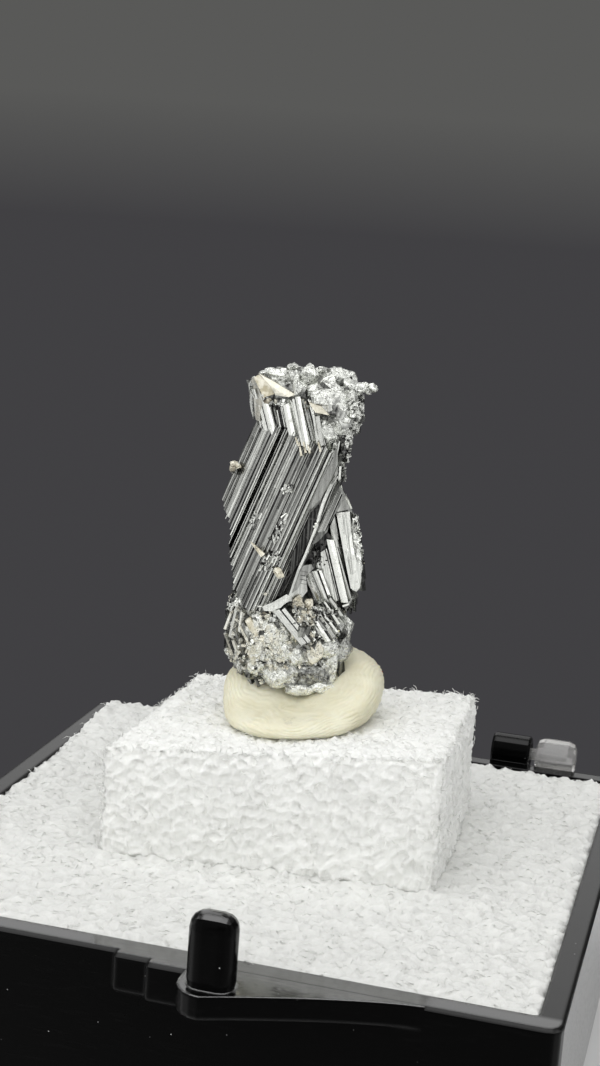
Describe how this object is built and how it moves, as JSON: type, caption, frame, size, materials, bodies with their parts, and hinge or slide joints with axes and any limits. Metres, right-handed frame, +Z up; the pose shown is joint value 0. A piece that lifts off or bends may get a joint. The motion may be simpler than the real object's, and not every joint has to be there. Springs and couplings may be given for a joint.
{
  "type": "bournonite specimen in a box base",
  "caption": "Striated metallic bournonite crystal cluster held by putty on a foam block, in the foam-lined black base of a small hinged specimen box.",
  "frame": {"origin": "centre of the flat underside of the box base", "axes": "+Z up; the latch side of the box faces -Y and the hinge side +Y; +X is to the right seen from the latch side"},
  "size_m": [0.0318, 0.0368, 0.0328],
  "materials": {
    "moulding": "glossy black moulded polystyrene",
    "clear_lid": "clear moulded polystyrene",
    "liner_foam": "fine white foam sheet",
    "block_foam": "white foam, hand cut, open cells on its sides",
    "putty": "cream mineral putty with fine press lines",
    "bournonite": "steel grey, metallic, striated crystal faces"
  },
  "bodies": {
    "root": {"box_base": "moulding", "lid_knuckle_left": "clear_lid", "lid_knuckle_right": "clear_lid", "foam_liner": "liner_foam", "foam_block": "block_foam", "putty": "putty", "bournonite": "bournonite"}
  },
  "joints": []
}
